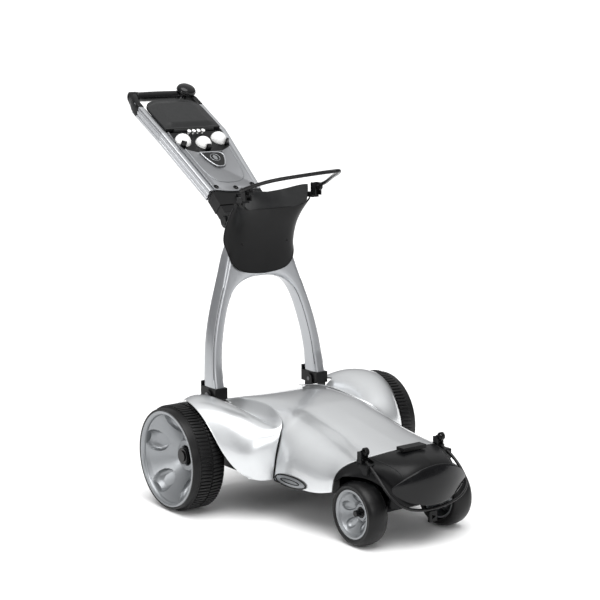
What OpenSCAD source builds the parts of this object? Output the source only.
// Electric golf trolley: folding wishbone frame on a two-motor chassis.
// +Z up, the trolley drives towards -Y, X runs across it.

/* [Rear wheels] */
// Radius of the rear tyre over its tread
rear_r = 125; // [115:1:130]
// Width of the rear tyre
rear_w = 85; // [70:1:90]
// Distance from the middle of the trolley to the tyre's inner edge
rear_in = 248; // [244:1:256]
// Radius of the rear axle
axle_r = 8; // [6:0.5:10]

/* [Front wheels] */
// Radius of the front tyre
front_r = 73; // [66:1:76]
// Width of the front tyre
front_w = 52; // [44:1:54]
// Distance from the rear axle to the front axle
wheelbase = 463; // [455:1:470]
// Distance from the middle of the trolley to the front tyre's inner edge
front_in = 97.5; // [96:0.5:100]

/* [Handle] */
// Slope of the lower half of the handle
slope_low = 35.3; // [33:0.1:37]
// Slope of the upper half of the handle
slope_up = 29; // [27:0.5:31]
// Thickness of the side rails
rail_t = 33; // [28:1:36]
// Diameter of the grip
grip_d = 26; // [22:1:30]
// Diameter of a golf ball
ball_d = 42.6; // [40:0.1:42.7]

/* [Bag supports] */
// Diameter of the upper retaining loop
loop_d = 9; // [7:0.5:10]
// Diameter of the lower elastic cord
bungee_d = 7; // [5:0.5:8]

/* [Shells] */
// Wall thickness of the painted shells
shell_t = 3; // [2:0.5:4]

/* [Hidden] */
$fn = 64;

// Offset of the rear axle that centres the whole trolley on the origin
axle_y = 13.8;
// Play between parts that move past each other, and of a running fit
gap = 0.5;
run = 0.05;

// Fold axis of the main frame and of the handle, measured from the rear axle
fold_y = 62;
fold_z = 243;
neck_y = 132;
neck_z = 652;
neck_slope = 40;
// Where the handle bends between its lower and upper half
bend_y = 372;
bend_z = 851;
// Middle of a leg at its foot
leg_x = 152;
leg_w = 32;
leg_d = 54;
// Front axle radius and height
front_axle_r = 6;
lock_x = 110;

silver = [0.72, 0.74, 0.75];
black = [0.06, 0.06, 0.065];
charcoal = [0.17, 0.17, 0.18];
rubber = [0.04, 0.04, 0.04];
steel = [0.6, 0.6, 0.62];

// Smooth curve through a list of control points, t from 0 to 1
function blend4(a, b, c, d, f) = ((1 - f) ^ 3 * a + (3 * f ^ 3 - 6 * f ^ 2 + 4) * b
    + (3 * f ^ 2 - 3 * f ^ 3 + 3 * f + 1) * c + f ^ 3 * d) / 6;
function padded(p) = concat([2 * p[0] - p[1]], p, [2 * p[len(p) - 1] - p[len(p) - 2]]);
function curve_at(p, t) = let (q = padded(p), n = len(p) - 1, s = min(t * n, n - 0.00001),
    i = floor(s)) blend4(q[i], q[i + 1], q[i + 2], q[i + 3], s - i);

// Grid of surface points from stations of control points
function patch(stations, nu, nv) = [for (i = [0 : nu]) let (u = i / nu)
    [for (j = [0 : nv]) curve_at([for (s = stations) curve_at(s, j / nv)], u)]];
function unit(v) = v / max(norm(v), 0.000001);
function last(p) = len(p) - 1;
function normal_at(g, i, j) = unit(cross(
    g[min(i + 1, last(g))][j] - g[max(i - 1, 0)][j],
    g[i][min(j + 1, last(g[0]))] - g[i][max(j - 1, 0)]));
function moved(g, d) = [for (i = [0 : last(g)])
    [for (j = [0 : last(g[0])]) g[i][j] + d * normal_at(g, i, j)]];
function flat(g) = [for (row = g) each row];
function mirrored(p) = [-p[0], p[1], p[2]];
// A half section becomes a whole one
function both_sides(row) = concat([for (j = [last(row) : -1 : 1]) mirrored(row[j])], row);

// Closed shell from a surface to the same surface moved in by t against its normals
module shell(g, t) {
    nu = len(g);
    nv = len(g[0]);
    o = nu * nv;
    skin = [for (i = [0 : nu - 2], j = [0 : nv - 2])
        let (a = i * nv + j) each [[a, a + 1, a + nv + 1], [a, a + nv + 1, a + nv]]];
    back = [for (f = skin) [f[2] + o, f[1] + o, f[0] + o]];
    ends = [for (i = [0 : nu - 2], j = [0, nv - 1]) let (a = i * nv + j, b = a + nv)
        each j == 0 ? [[a, b, b + o], [a, b + o, a + o]] : [[b, a, a + o], [b, a + o, b + o]]];
    rims = [for (j = [0 : nv - 2], i = [0, nu - 1]) let (a = i * nv + j, b = a + 1)
        each i == 0 ? [[b, a, a + o], [b, a + o, b + o]] : [[a, b, b + o], [a, b + o, a + o]]];
    polyhedron(concat(flat(g), flat(moved(g, -t))), concat(skin, back, ends, rims));
}

// Closed loft through rings of equal length
module loft(rings) {
    n = len(rings[0]);
    m = len(rings);
    sides = [for (i = [0 : m - 2], j = [0 : n - 1]) let (a = i * n + j, b = i * n + (j + 1) % n)
        each [[a, b, b + n], [a, b + n, a + n]]];
    caps = [[for (j = [n - 1 : -1 : 0]) j], [for (j = [0 : n - 1]) (m - 1) * n + j]];
    polyhedron(flat(rings), concat(sides, caps));
}

// Round tube swept along a list of points
function tangent(p, i) = unit(p[min(i + 1, last(p))] - p[max(i - 1, 0)]);
function ring_at(c, t, r, n) = let (side = unit(cross(t, [0.05, 0.1, 1])), up = cross(side, t))
    [for (k = [0 : n - 1]) c + r * (cos(360 * k / n) * side + sin(360 * k / n) * up)];
module tube(route, rings, r, n = 8) {
    p = [for (i = [0 : rings]) curve_at(route, i / rings)];
    loft([for (i = [0 : rings]) ring_at(p[i], tangent(p, i), r, n)]);
}

// Everything is measured from the middle of the rear axle, on the ground
module on_ground() {
    translate([0, axle_y, 0]) children();
}
// A wheel's own axis points outwards from its inner face
module at_wheel(side, x, y, z) {
    on_ground() translate([side * x, y, z]) rotate([0, side * 90, 0]) children();
}
module at_rear(side) {
    at_wheel(side, rear_in, 0, rear_r) children();
}
module at_front(side) {
    at_wheel(side, front_in, -wheelbase, front_r) children();
}
// The two halves of the handle: +Y runs up the handle, +Z leaves its face
module low_handle() {
    on_ground() translate([0, bend_y, bend_z]) rotate([slope_low, 0, 0]) children();
}
module up_handle() {
    on_ground() translate([0, bend_y, bend_z]) rotate([slope_up, 0, 0]) children();
}
module two_sides() {
    children();
    mirror([1, 0, 0]) children();
}
module bar_x(r, half) {
    rotate([0, 90, 0]) cylinder(r = r, h = 2 * half, center = true);
}
module block(low, high) {
    translate(low) cube(high - low);
}

// ---- body shells ----

// Half sections of the hood, from the middle outwards, rear edge to nose
cover_sections = [
    [[0, 64, 224], [45, 64, 225], [80, 62, 226], [100, 58, 228], [111, 56, 229], [116, 54, 230], [119, 52, 230]],
    [[0, 30, 236], [45, 29, 236], [80, 27, 238], [98, 24, 239], [107, 22, 239], [112, 20, 239], [115, 18, 238]],
    [[0, -40, 251], [45, -41, 251], [78, -42, 250], [95, -44, 249], [103, -46, 247], [107, -48, 246], [110, -50, 244]],
    [[0, -105, 256], [45, -106, 256], [76, -109, 254], [92, -114, 250], [100, -119, 246], [105, -124, 243], [108, -128, 240]],
    [[0, -140, 256], [45, -142, 255], [78, -148, 252], [98, -160, 245], [114, -176, 234], [128, -190, 224], [138, -200, 216]],
    [[0, -165, 254], [45, -168, 253], [82, -176, 250], [108, -190, 238], [132, -202, 220], [150, -207, 196], [162, -209, 170]],
    [[0, -190, 252], [45, -193, 251], [82, -202, 246], [114, -210, 231], [142, -212, 207], [165, -211, 160], [173, -209, 98]],
    [[0, -205, 250], [45, -208, 249], [82, -214, 243], [114, -218, 227], [143, -219, 204], [166, -216, 159], [174, -214, 96]],
    [[0, -246, 242], [45, -247, 241], [82, -251, 236], [112, -253, 221], [144, -254, 199], [168, -253, 157], [174, -252, 97]],
    [[0, -300, 232], [45, -301, 230], [80, -304, 226], [108, -307, 210], [139, -309, 190], [164, -310, 152], [170, -310, 96]],
    [[0, -360, 220], [45, -360, 218], [78, -360, 213], [106, -360, 201], [135, -360, 183], [159, -361, 148], [165, -362, 100]],
    [[0, -420, 211], [48, -419, 209], [82, -414, 204], [112, -404, 194], [136, -394, 178], [155, -388, 146], [160, -386, 106]],
    [[0, -474, 204], [50, -472, 202], [93, -462, 195], [126, -438, 184], [147, -417, 166], [156, -407, 142], [158, -406, 112]]
];
// Sections of a rear fender: hood crest, scoop, ridge, shoulder and outer lip
fender_sections = [
    [[124, 96, 222], [145, 97, 220], [168, 98, 224], [196, 98, 230], [224, 97, 230], [244, 95, 224]],
    [[121, 52, 231], [142, 52, 224], [168, 52, 238], [198, 53, 254], [228, 52, 258], [252, 48, 250]],
    [[119, 8, 240], [140, 8, 212], [165, 8, 240], [202, 6, 262], [246, 3, 268], [276, -2, 260]],
    [[115, -50, 245], [138, -52, 212], [166, -54, 240], [206, -54, 260], [250, -52, 264], [280, -48, 251]],
    [[113, -105, 243], [136, -107, 212], [165, -110, 236], [208, -112, 250], [250, -104, 246], [279, -89, 226]],
    [[117, -132, 239], [137, -142, 212], [164, -152, 230], [206, -156, 234], [246, -142, 220], [274, -115, 194]],
    [[131, -184, 226], [146, -187, 216], [166, -190, 220], [206, -194, 210], [242, -180, 192], [265, -138, 160]],
    [[144, -202, 212], [154, -204, 202], [174, -212, 196], [208, -224, 180], [238, -212, 160], [252, -170, 134]],
    [[164, -206, 172], [169, -207, 164], [180, -214, 158], [204, -226, 146], [224, -218, 130], [238, -188, 116]],
    [[176, -207, 98], [179, -208, 97], [184, -210, 97], [194, -212, 97], [206, -208, 98], [224, -200, 104]]
];
// Half sections of the nose, from the hood's front edge down to its lower edge
nose_sections = [
    [[0, -476, 203], [50, -474, 201], [94, -464, 194], [127, -440, 183], [148, -419, 165], [157, -409, 141], [159, -408, 112]],
    [[0, -505, 203], [50, -502, 200], [90, -490, 190], [117, -468, 180], [137, -446, 170], [150, -430, 162], [156, -421, 154]],
    [[0, -532, 199], [48, -529, 195], [82, -519, 184], [103, -500, 174], [118, -482, 166], [130, -468, 161], [138, -458, 158]],
    [[0, -556, 190], [45, -553, 185], [75, -544, 174], [92, -528, 163], [102, -512, 154], [109, -500, 148], [114, -490, 144]],
    [[0, -569, 168], [45, -566, 164], [73, -558, 156], [88, -544, 146], [95, -532, 137], [99, -522, 130], [101, -514, 124]],
    [[0, -571, 130], [45, -568, 128], [70, -560, 124], [84, -549, 119], [91, -540, 113], [95, -533, 108], [97, -527, 104]],
    [[0, -560, 98], [45, -557, 97], [68, -551, 95], [80, -542, 94], [87, -534, 92], [91, -528, 91], [93, -522, 90]]
];
// Half sections of the shield that carries the bag, upper edge to lower rim
shield_sections = [
    [[0, 39, 685], [38, 37, 686], [70, 32, 688], [92, 26, 693], [106, 23, 701], [110, 27, 706]],
    [[0, 54, 646], [40, 54, 646], [70, 54, 648], [88, 58, 651], [100, 66, 654], [105, 75, 657]],
    [[0, 65, 602], [40, 65, 603], [70, 66, 604], [88, 71, 606], [100, 81, 608], [105, 92, 610]],
    [[0, 67, 560], [40, 66, 561], [72, 68, 566], [89, 73, 574], [97, 80, 584], [100, 87, 594]],
    [[0, 66, 526], [40, 66, 528], [72, 68, 536], [89, 72, 553], [96, 77, 570], [98, 83, 584]]
];
// Half sections of the saddle above it, upper edge and lower edge
saddle_sections = [
    [[0, 52, 726], [34, 47, 729], [60, 27, 737], [78, 16, 741], [88, 12, 741]],
    [[0, 44, 707], [36, 40, 709], [62, 27, 713], [79, 17, 718], [89, 12, 722]],
    [[0, 38, 691], [36, 35, 692], [62, 28, 695], [79, 19, 699], [88, 13, 705]]
];

function whole(stations, nu, nv) = [for (row = patch(stations, nu, nv)) both_sides(row)];

module body_cover() {
    color(silver) on_ground() difference() {
        shell(whole(cover_sections, 32, 14), shell_t);
        two_sides() block([lock_x - 13, -480, 160], [lock_x + 13, lock_y + 11, 230]);
    }
}

module fender_half() {
    difference() {
        shell(patch(fender_sections, 30, 18), shell_t);
        // slot for the folding leg and its bracket
        block([leg_x - 24, fold_y - 36, 150], [leg_x + 27, fold_y + 60, 300]);
    }
}
module fender_left() {
    color(silver) on_ground() fender_half();
}
module fender_right() {
    color(silver) on_ground() mirror([1, 0, 0]) fender_half();
}

module nose_cowl() {
    color(black) on_ground() difference() {
        shell(whole(nose_sections, 20, 12), shell_t);
        two_sides() {
            translate([front_in + 32, -wheelbase, front_r]) bar_x(front_r + 10, 36);
            block([lock_x - 12, -480, 160], [lock_x + 12, lock_y + 20, 230]);
        }
    }
}

// Leaf-shaped plate that the foot of the bag stands on
leaf_half = 106;
leaf_y = -573;
leaf_z = 142;
function leaf_top(x) = 44 * cos(90 * abs(x) / leaf_half) ^ 0.8;
function leaf_low(x) = -44 * cos(90 * abs(x) / leaf_half) ^ 0.6;
function leaf_point(i, j, nu, nv) = let (x = leaf_half * sin(90 * (2 * i / nu - 1)),
    v = j / nv, z = leaf_low(x) * (1 - v) + leaf_top(x) * v,
    bulge = 7 * (1 - (x / leaf_half) ^ 2) * sin(180 * v))
    [0.995 * x, leaf_y + 24 * (x / leaf_half) ^ 2 - bulge, leaf_z + z];
module nose_plate() {
    nu = 28;
    nv = 10;
    color(black) on_ground()
        shell([for (j = [0 : nv]) [for (i = [1 : nu - 1]) leaf_point(i, j, nu, nv)]], shell_t);
}

module side_badges() {
    color(black) on_ground() two_sides() translate([174.6, -283, 111]) rotate([0, -3, 0])
        rotate([90, 0, 90]) linear_extrude(3) scale([34, 11]) circle(r = 1);
}

// ---- chassis ----

tub_half = 118;
tub_floor = 92;
tub_front = -384;
tub_rim = 170;
module chassis_tub() {
    wall = 4;
    color(black) on_ground() difference() {
        union() {
            block([-tub_half, tub_front, tub_floor], [tub_half, 96, tub_rim]);
            block([-tub_half, 76, tub_floor], [tub_half, 96, 214]);
            // rear crossmember that carries the hinge brackets and gearboxes
            block([-176, 20, tub_floor], [176, 96, 172]);
            // tongue that reaches under the nose and carries the front axle
            block([-90, -520, 100], [90, tub_front + 1, 106]);
        }
        block([wall - tub_half, tub_front + wall, tub_floor + wall], [tub_half - wall, 96 - wall, 230]);
        two_sides() {
            translate([150, 0, rear_r]) bar_x(34, 60);
            translate([150, 0, rear_r]) bar_x(39, 150 - tub_half);
        }
    }
}

socket_half = leg_w / 2 + 1.5;
module hinge_brackets() {
    cheek = 4;
    inner = socket_half + gap;
    color(black) on_ground() two_sides() translate([leg_x, fold_y, 0]) difference() {
        union() {
            for (s = [-1, 1]) {
                translate([s * (inner + cheek / 2), 0, fold_z]) bar_x(14, cheek / 2);
                translate([s * (inner + cheek / 2), 0, 0])
                    block([-cheek / 2, -14, 172], [cheek / 2, 14, fold_z]);
            }
            block([-inner - cheek, -14, 172], [inner + cheek, 14, 184]);
        }
        translate([0, 0, fold_z]) bar_x(5, 60);
    }
}
module fold_pins() {
    color(steel) on_ground() two_sides() translate([leg_x, fold_y, fold_z]) {
        bar_x(5, socket_half + 5);
        translate([socket_half + 6, 0, 0]) bar_x(8, 1);
    }
}

module battery() {
    color(charcoal) on_ground() difference() {
        union() {
            block([-85, -330, 97], [85, -150, 188]);
            block([-40, -262, 188], [40, -254, 204]);
            block([-40, -226, 188], [40, -218, 204]);
            block([-40, -254, 198], [40, -226, 204]);
        }
        block([-70, -331, 150], [70, -328, 176]);
    }
}
module controller() {
    color(charcoal) on_ground() {
        block([-70, -120, 97], [70, -50, 132]);
        for (i = [0 : 8])
            block([-64 + 15 * i, -118, 132], [-58 + 15 * i, -52, 142]);
    }
}
module drive_motors() {
    color(steel) on_ground() two_sides() {
        translate([66, 0, rear_r]) bar_x(28, 40);
        translate([22, 0, rear_r]) bar_x(12, 4);
    }
}
// Gearbox case with its mounting flange and the seats of the axle bearings
module gearboxes() {
    color(black) on_ground() two_sides() translate([0, 0, rear_r]) difference() {
        union() {
            translate([134, 0, 0]) bar_x(32, 27.5);
            translate([tub_half + 2.5, 0, 0]) bar_x(38, 2);
            translate([192, 0, 0]) bar_x(23, 31);
        }
        translate([192, 0, 0]) bar_x(16, 40);
    }
}
bearing_x = [168, 214];
module axle_bearings() {
    color(steel) on_ground() two_sides() for (x = bearing_x)
        translate([x, 0, rear_r]) difference() {
            bar_x(16, 4);
            bar_x(axle_r + run, 5);
        }
}

module front_axle() {
    color(steel) on_ground() translate([0, -wheelbase, front_r]) bar_x(front_axle_r, front_in + 38);
}
module front_carrier() {
    color(black) on_ground() difference() {
        union() {
            translate([0, -wheelbase, front_r]) bar_x(13, front_in - 4);
            for (s = [-1, 1])
                block([s * 76 - 8, -wheelbase - 11, front_r], [s * 76 + 8, -wheelbase + 11, 92]);
            block([-88, -wheelbase - 20, 91], [88, -wheelbase + 40, 99.5]);
        }
        translate([0, -wheelbase, front_r]) bar_x(front_axle_r, front_in + 10);
    }
}

// ---- wheels ----

module rear_tyre(side) {
    w = rear_w;
    r = rear_r;
    color(rubber) at_rear(side) rotate_extrude() polygon([
        [r - 16, 4], [r - 13, 0], [r - 6, 0.5], [r - 1, 4], [r, 9], [r, w - 11],
        [r - 1, w - 5], [r - 3, w - 1], [r - 7, w], [r - 10.5, w - 0.5], [r - 16, w - 5]
    ]);
}
module rear_rim(side) {
    w = rear_w;
    r = rear_r - 16;
    color(silver) at_rear(side) difference() {
        rotate_extrude() polygon([
            [r, 4], [r, w - 4.8], [r + 4.5, w - 0.8], [r, w - 0.3], [r - 5, w - 4],
            [r - 12, w - 12], [58, 45], [49, 40], [46, 31], [22, 30], [22, 38],
            [button_r + gap, 38], [button_r + gap, 26], [axle_r + run, 26],
            [axle_r + run, 13], [26, 13], [26, 24], [47, 25], [52, 34], [58, 38],
            [r - 12, w - 19], [r - 5, w - 15], [r - 5, 4]
        ]);
        for (k = [0 : 4]) rotate([0, 0, 72 * k]) translate([66, 0, -5]) cylinder(r = 12, h = rear_w);
    }
}
module axle(side) {
    color(steel) at_rear(side) {
        translate([0, 0, -90]) cylinder(r = axle_r, h = 90 + 26);
        translate([0, 0, -94]) cylinder(r = axle_r + 4, h = 8);
    }
}
button_r = 19;
button_travel = 4;
module hub_button(side) {
    color(black) at_rear(side) {
        translate([0, 0, 26 + button_travel + gap]) cylinder(r = button_r, h = 9);
        translate([0, 0, 26 + button_travel + gap]) cylinder(r = button_r - 6, h = 12);
    }
}
module front_tyre(side) {
    w = front_w;
    r = front_r;
    color(rubber) at_front(side) rotate_extrude() polygon([
        [r - 20, 5], [r - 17, 1], [r - 9, 0], [r - 5, 3], [r - 2, 9], [r - 0.4, 18],
        [r, 26], [r - 0.4, w - 18], [r - 2, w - 9], [r - 5, w - 3], [r - 9, w],
        [r - 17, w - 1], [r - 20, w - 5]
    ]);
}
module front_rim(side) {
    w = front_w;
    r = front_r - 20;
    color(silver) at_front(side) rotate_extrude() polygon([
        [r, 5], [r, w - 5], [r + 2, w - 2], [r - 2, w - 2], [r - 6, w - 5], [24, w - 8],
        [16, w - 6], [12.5, w - 6], [12.5, w - 12], [front_axle_r + run, w - 12],
        [front_axle_r + run, 4], [15, 4], [15, w - 18], [r - 6, w - 13], [r - 4, 5]
    ]);
}
module front_cap(side) {
    color(black) at_front(side) translate([0, 0, front_w - 11.5]) cylinder(r = 12.4, h = 8);
}

// ---- lower bag fixing ----

lock_y = -455;
lock_z = 202;
module lower_locks() {
    color(black) on_ground() two_sides() difference() {
        union() {
            block([lock_x - 11, lock_y - 9, 181], [lock_x + 11, lock_y + 8, 190]);
            for (s = [-8, 8])
                block([lock_x + s - 2, lock_y - 7, 188], [lock_x + s + 2, lock_y + 7, 208]);
        }
        translate([lock_x, lock_y, lock_z]) bar_x(2.5 + run, 14);
    }
}
// Cam lever that pinches the cord: a finned drum with a thumb loop
module cam_lever() {
    difference() {
        union() {
            bar_x(7, 5.4);
            bar_x(2.5, 10);
            for (a = [0 : 60 : 300])
                rotate([a, 0, 0]) block([-5.4, -1.2, 5], [5.4, 1.2, 9]);
            translate([0, -10, 8]) bar_x(9, 4);
        }
        translate([0, -10, 8]) bar_x(6, 5);
    }
}
module lower_cam(side) {
    color(black) on_ground() translate([side * lock_x, lock_y, lock_z]) cam_lever();
}

// Elastic cord from one lock, round under the plate, to the other
bungee_half = [
    [111, -468, 187], [113, -490, 177], [114, -520, 158], [113, -546, 132],
    [103, -562, 118], [85, -567, 103], [60, -567, 93], [30, -565, 86]
];
bungee_route = concat([for (p = bungee_half) mirrored(p)], [[0, -564, 84]],
    [for (i = [last(bungee_half) : -1 : 0]) bungee_half[i]]);
module lower_bungee() {
    color(rubber) on_ground() tube(bungee_route, 44, bungee_d / 2);
}
module lower_hook() {
    color(black) on_ground() difference() {
        block([-11, -567, 56], [11, -561, 80]);
        translate([0, -550, 67]) rotate([90, 0, 0]) cylinder(r = 7, h = 30, $fn = 3);
    }
}
module cover_latch() {
    color(black) on_ground() {
        block([-33, -498, 205], [33, -478, 212]);
        block([-33, -502, 203.5], [33, -497, 212]);
    }
}

// ---- folding frame ----

// Inner and outer edge of the wishbone, foot to crown: x and height of each
wishbone_edges = [
    [136, 246, 168, 246], [136.5, 275, 167.5, 275], [137, 307, 165, 307],
    [132, 358, 159, 358], [121, 407, 148, 408], [110, 444, 134, 452],
    [97, 474, 120, 492], [78, 496, 107, 530], [50, 510, 90, 590],
    [22, 515, 60, 626], [0, 515, 0, 632]
];
function lean(z) = fold_y + 9 * (z - fold_z) / 60 - 0.00009 * (z - fold_z) ^ 2;
function wish_point(e, a) = let (
    c = cos(a), s = sin(a), k = 0.45,
    u = sign(c) * abs(c) ^ k, v = sign(s) * abs(s) ^ k,
    x = (e[0] + e[2]) / 2 + u * (e[2] - e[0]) / 2,
    z = (e[1] + e[3]) / 2 + u * (e[3] - e[1]) / 2,
    deep = leg_d - 8 * min(max((z - 250) / 60, 0), 1))
    [x, lean(z) + v * deep / 2, z];
module wishbone_half() {
    n = 26;
    ring = 16;
    loft([for (i = [0 : n]) [for (k = [0 : ring - 1])
        wish_point(curve_at(wishbone_edges, i / n), -360 * (k + 0.5) / ring)]]);
}
module wishbone_frame() {
    color(silver) on_ground() difference() {
        union() {
            wishbone_half();
            mirror([1, 0, 0]) wishbone_half();
        }
        block([-200, 0, 240], [200, 200, 262]);
    }
}
module leg_sockets() {
    half = socket_half;
    color(black) on_ground() two_sides() translate([leg_x, fold_y, fold_z]) difference() {
        union() {
            bar_x(16, half);
            block([-half, -28, -9], [half, 35, 18.5]);
            block([-half, 31, -9], [half, 35, 30]);
        }
        bar_x(5 + run, 60);
    }
}
module frame_head() {
    color(black) on_ground() difference() {
        union() {
            translate([0, neck_y, neck_z]) bar_x(17, 30);
            block([-30, 86, 632.5], [30, neck_y + 10, neck_z - 4]);
        }
        translate([0, neck_y, neck_z]) bar_x(6, 40);
        // flat seat on the crown of the frame
        block([-31, 40, 600], [31, neck_y + 25, 632.5]);
    }
}
module cradle_shield() {
    color(black) on_ground() shell(whole(shield_sections, 18, 12), shell_t);
}
module cradle_saddle() {
    color(charcoal) on_ground() shell(whole(saddle_sections, 8, 12), 8);
}
upper_x = 103;
upper_y = -5;
upper_z = 738;
module upper_locks() {
    color(black) on_ground() two_sides() translate([upper_x, upper_y, upper_z]) difference() {
        union() {
            block([-10.5, 3, -28], [10.5, 25, -16]);
            for (s = [-8, 8])
                block([s - 2, -9, -22], [s + 2, 9, 8]);
        }
        bar_x(2.5 + run, 16);
    }
}
module upper_cam(side) {
    color(black) on_ground() translate([side * upper_x, upper_y, upper_z])
        rotate([40, 0, 0]) cam_lever();
}
loop_half = [
    [118.5, -4, 740], [118, -24, 747], [108, -50, 757], [92, -86, 769],
    [72, -124, 778], [49, -162, 786], [27, -194, 793], [10, -215, 797]
];
loop_route = concat([for (p = loop_half) mirrored(p)], [[0, -219, 798]],
    [for (i = [last(loop_half) : -1 : 0]) loop_half[i]]);
module upper_loop() {
    color(rubber) on_ground() tube(loop_route, 44, loop_d / 2);
}

// ---- handle ----

rail_low = -225;
rail_up = 146;
rail_w = 15;
low_half = 77;
bend_half = 98;
bar_y = 187;
bar_z = -12;
module rail_part(x0, x1, y0, y1) {
    linear_extrude(rail_t - 1) polygon([[x0 - rail_w, y0], [x0, y0], [x1, y1], [x1 - rail_w, y1]]);
}
module handle_rails() {
    color(silver) {
        low_handle() translate([0, 0, -rail_t]) two_sides()
            rail_part(low_half, bend_half, rail_low, 0);
        up_handle() translate([0, 0, -rail_t]) two_sides()
            rail_part(bend_half, bend_half + 1, 0, rail_up);
    }
}
module panel_area(y0, y1, x0, x1) {
    polygon([[-x0, y0], [x0, y0], [x1, y1], [-x1, y1]]);
}
module control_panel() {
    side = rail_w + gap;
    color(silver) low_handle() difference() {
        translate([0, 0, -6]) linear_extrude(8)
            panel_area(rail_low, -1, low_half - side, bend_half - side);
        // window over the ball tray
        translate([0, 0, -8]) linear_extrude(14) polygon([
            [-79, 1], [79, 1], [79, -40], [70, -68], [38, -84], [-38, -84], [-70, -68], [-79, -40]
        ]);
        for (x = [-58, 0, 58])
            translate([x, rail_low + 12, -10]) cylinder(r = 5.5, h = 20);
    }
}
module handle_back() {
    side = rail_w + gap;
    color(black) {
        low_handle() translate([0, 0, 1 - rail_t]) linear_extrude(5)
            panel_area(rail_low, 0, low_half - side, bend_half - side);
        up_handle() translate([0, 0, 2 - rail_t]) linear_extrude(5)
            panel_area(1, 118, bend_half - side - 1, bend_half - side - 1);
    }
}
ball_places = [[-54, -36], [0, -50], [54, -36]];
module ball_tray() {
    color(black) low_handle() difference() {
        translate([0, 0, -26.5]) linear_extrude(25.5) polygon([
            [-77, -2.5], [77, -2.5], [78, -40], [69, -67.5], [37.5, -83], [-37.5, -83], [-69, -67.5],
            [-78, -40]
        ]);
        for (p = ball_places)
            translate([p[0], p[1], -3]) sphere(d = ball_d + 1.2);
        for (x = tee_x)
            translate([x, -9, -20]) cylinder(r = 2.6, h = 30);
    }
}
tee_x = [-24, -10, 4, 18];
module golf_balls() {
    color("white") low_handle() for (p = ball_places)
        translate([p[0], p[1], -3]) sphere(d = ball_d);
}
module golf_tees() {
    color("white") low_handle() for (x = tee_x) translate([x, -9, -19]) {
        cylinder(r = 2, h = 22);
        translate([0, 0, 22]) cylinder(r1 = 2, r2 = 5, h = 5);
        translate([0, 0, 27]) cylinder(r = 5, h = 1.5);
    }
}
module panel_badge() {
    color(black) low_handle() translate([0, 0, 2]) linear_extrude(2.5)
        polygon([[-34, -89], [34, -89], [30, -112], [16, -141], [8, -146], [-8, -146], [-16, -141], [-30, -112]]);
}
module scorecard_lid() {
    color(charcoal) up_handle() {
        translate([0, 0, -3]) linear_extrude(7) intersection() {
            translate([-82, 9]) square([164, 150]);
            translate([0, 20]) scale([1, 1.22]) circle(r = 105);
        }
        translate([0, 6, -1]) bar_x(5, 60);
    }
}
module handle_neck() {
    ear = 31;
    color(black) on_ground() translate([0, neck_y, neck_z]) difference() {
        union() {
            two_sides() {
                translate([(ear + neck_half) / 2, 0, 0]) bar_x(19, (neck_half - ear) / 2);
                rotate([neck_slope, 0, 0]) block([ear + 1, 4, -15], [neck_half - 1, 44, 14]);
            }
            rotate([neck_slope, 0, 0]) block([-neck_half, 38, -17], [neck_half, 82, 16]);
        }
        bar_x(6, 90);
    }
}
neck_half = 72;
module handle_pin() {
    color(steel) on_ground() translate([0, neck_y, neck_z]) {
        bar_x(6 - run, neck_half);
        for (s = [-1, 1])
            translate([s * (neck_half + 1.5), 0, 0]) bar_x(10, 1.5);
    }
}
module grip_bar() {
    color(steel) up_handle() translate([0, bar_y, bar_z]) bar_x(8, 86);
}
module grip_sleeve() {
    color(rubber) up_handle() translate([-5, bar_y, bar_z]) difference() {
        bar_x(grip_d / 2, 65);
        bar_x(8, 80);
    }
}
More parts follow.
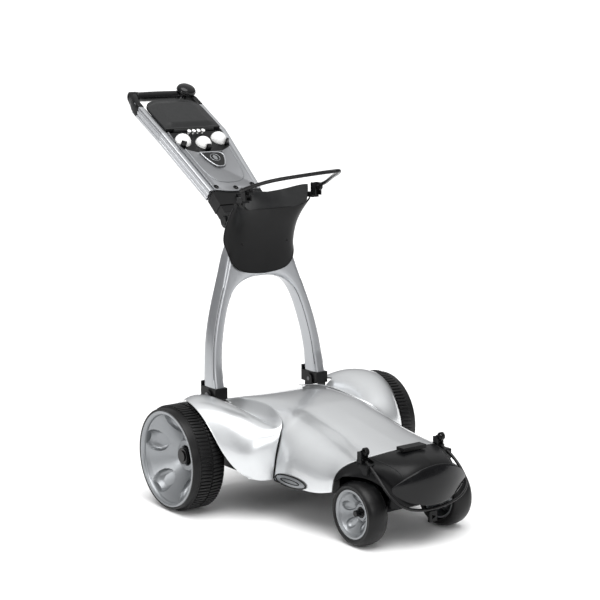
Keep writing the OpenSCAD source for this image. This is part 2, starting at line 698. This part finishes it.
module grip_brackets() {
    color(black) up_handle() two_sides() difference() {
        union() {
            translate([79.5, bar_y, bar_z]) bar_x(grip_d / 2 + 1, 8.5);
            translate([0, 0, -27]) linear_extrude(25) polygon([
                [84, rail_up + 0.3], [98, rail_up + 0.3], [88, bar_y], [72, bar_y]
            ]);
        }
        translate([79.5, bar_y, bar_z]) bar_x(8, 10);
    }
}
knob_r = 26;
// Sphere whose cap, 19 high, just covers the knob
dome_r = (26 ^ 2 + 19 ^ 2) / 38;
module speed_knob() {
    color(black) up_handle() translate([76, bar_y - 6, bar_z + grip_d / 2 + 1.5]) {
        cylinder(r = knob_r, h = 5);
        translate([0, 0, 5]) intersection() {
            translate([0, 0, -dome_r + 19]) sphere(r = dome_r);
            cylinder(r = knob_r, h = 30);
        }
    }
}
module handle_lock() {
    color(black) on_ground() translate([0, neck_y, neck_z]) rotate([neck_slope, 0, 0]) {
        translate([0, 44, 16.5]) block([-12, -22, 0], [12, 17.5, 6]);
        translate([0, 61.5, 20]) bar_x(3.5, 12);
    }
}

chassis_tub();
fender_left();
fender_right();
nose_cowl();
nose_plate();
hinge_brackets();
fold_pins();
battery();
controller();
drive_motors();
gearboxes();
axle_bearings();
front_axle();
front_carrier();
side_badges();
lower_locks();
lower_bungee();
lower_hook();
body_cover();
cover_latch();
lower_cam(1);  // lower_cam_left
lower_cam(-1);  // lower_cam_right
rear_tyre(1);  // rear_tyre_left
rear_tyre(-1);  // rear_tyre_right
rear_rim(1);  // rear_rim_left
rear_rim(-1);  // rear_rim_right
axle(1);  // axle_left
axle(-1);  // axle_right
hub_button(1);  // hub_button_left
hub_button(-1);  // hub_button_right
front_tyre(1);  // front_tyre_left
front_tyre(-1);  // front_tyre_right
front_rim(1);  // front_rim_left
front_rim(-1);  // front_rim_right
front_cap(1);  // front_cap_left
front_cap(-1);  // front_cap_right
wishbone_frame();
leg_sockets();
frame_head();
cradle_shield();
cradle_saddle();
upper_locks();
upper_cam(1);  // upper_cam_left
upper_cam(-1);  // upper_cam_right
upper_loop();
handle_neck();
handle_pin();
handle_rails();
control_panel();
handle_back();
ball_tray();
golf_balls();
golf_tees();
grip_bar();
grip_sleeve();
grip_brackets();
panel_badge();
scorecard_lid();
speed_knob();
handle_lock();
